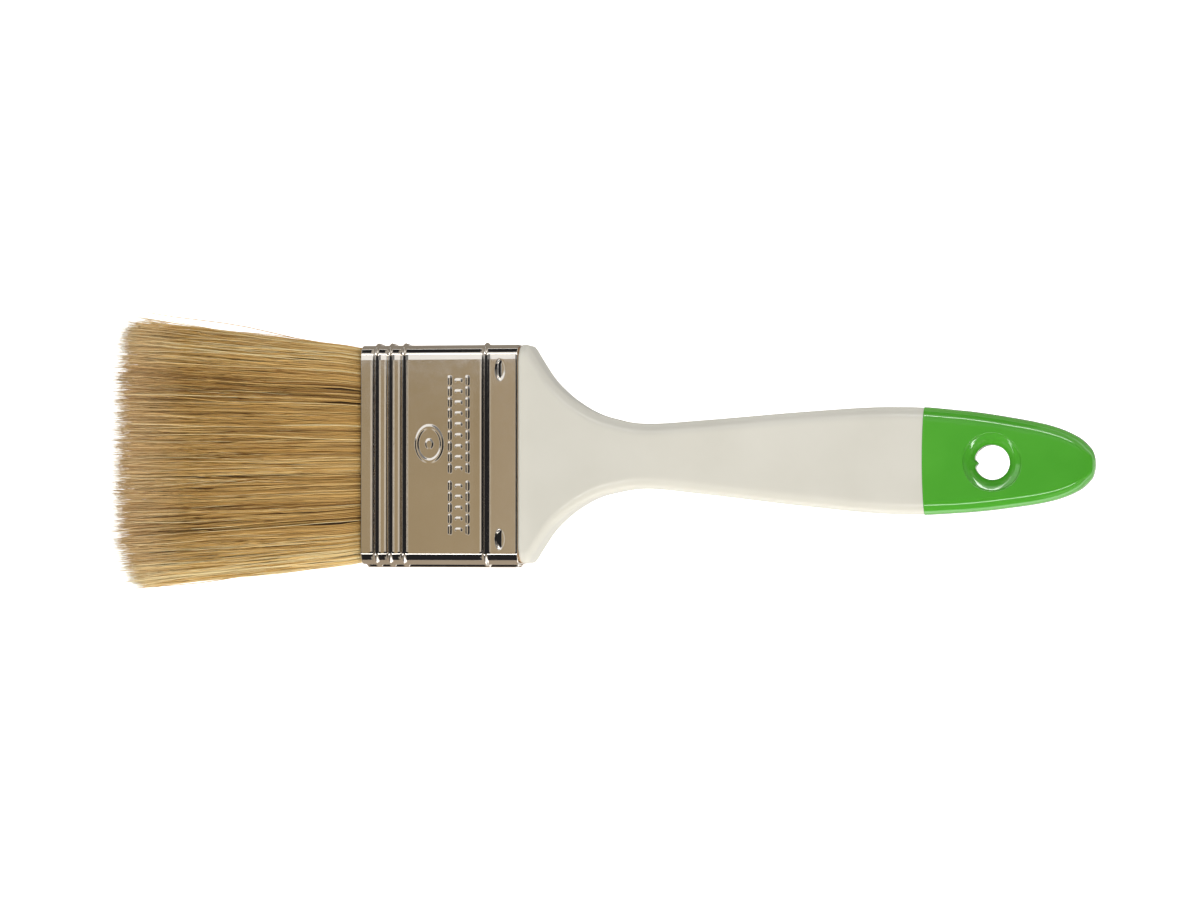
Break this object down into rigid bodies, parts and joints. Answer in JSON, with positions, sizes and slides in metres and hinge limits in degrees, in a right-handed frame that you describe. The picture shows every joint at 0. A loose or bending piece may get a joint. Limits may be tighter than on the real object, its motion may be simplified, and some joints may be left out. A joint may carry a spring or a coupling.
{
  "type": "flat paint brush",
  "caption": "Flat paint brush with natural bristles, a beaded metal ferrule and a lacquered, waisted wooden handle with a dipped end and a hanging hole.",
  "frame": {"origin": "middle of the length and width, on the surface that the brush lies on", "axes": "+X towards the handle's tip, +Y across the width, +Z out of the front face of the ferrule"},
  "size_m": [0.228, 0.0612, 0.0161],
  "materials": {
    "bare_wood": "sanded",
    "white_lacquer": "gloss",
    "green_lacquer": "high gloss",
    "plated_steel": "bright plated sheet",
    "epoxy": "cast",
    "bristle": "natural bristle, flagged tips"
  },
  "bodies": {
    "brush_body": {"handle_core": "bare_wood", "handle_lacquer": "white_lacquer", "tip_dip_coat": "green_lacquer", "ferrule": "plated_steel", "epoxy_set": "epoxy", "spacer_plug": "bare_wood", "bristle_roots_front": "bristle", "bristle_roots_back": "bristle"},
    "bristle_head": {"bristles_front_1": "bristle", "bristles_front_2": "bristle", "bristles_front_3": "bristle", "bristles_front_4": "bristle", "bristles_front_5": "bristle", "bristles_back_1": "bristle", "bristles_back_2": "bristle", "bristles_back_3": "bristle", "bristles_back_4": "bristle", "bristles_back_5": "bristle"}
  },
  "joints": [
    {"name": "bristle_flex", "type": "hinge", "parent": "brush_body", "child": "bristle_head", "pos_m": [-0.0525, 0, 0.00805], "axis": [0, 1, 0], "range_deg": [-30, 30], "stiffness_Nm_per_rad": 0.35}
  ]
}
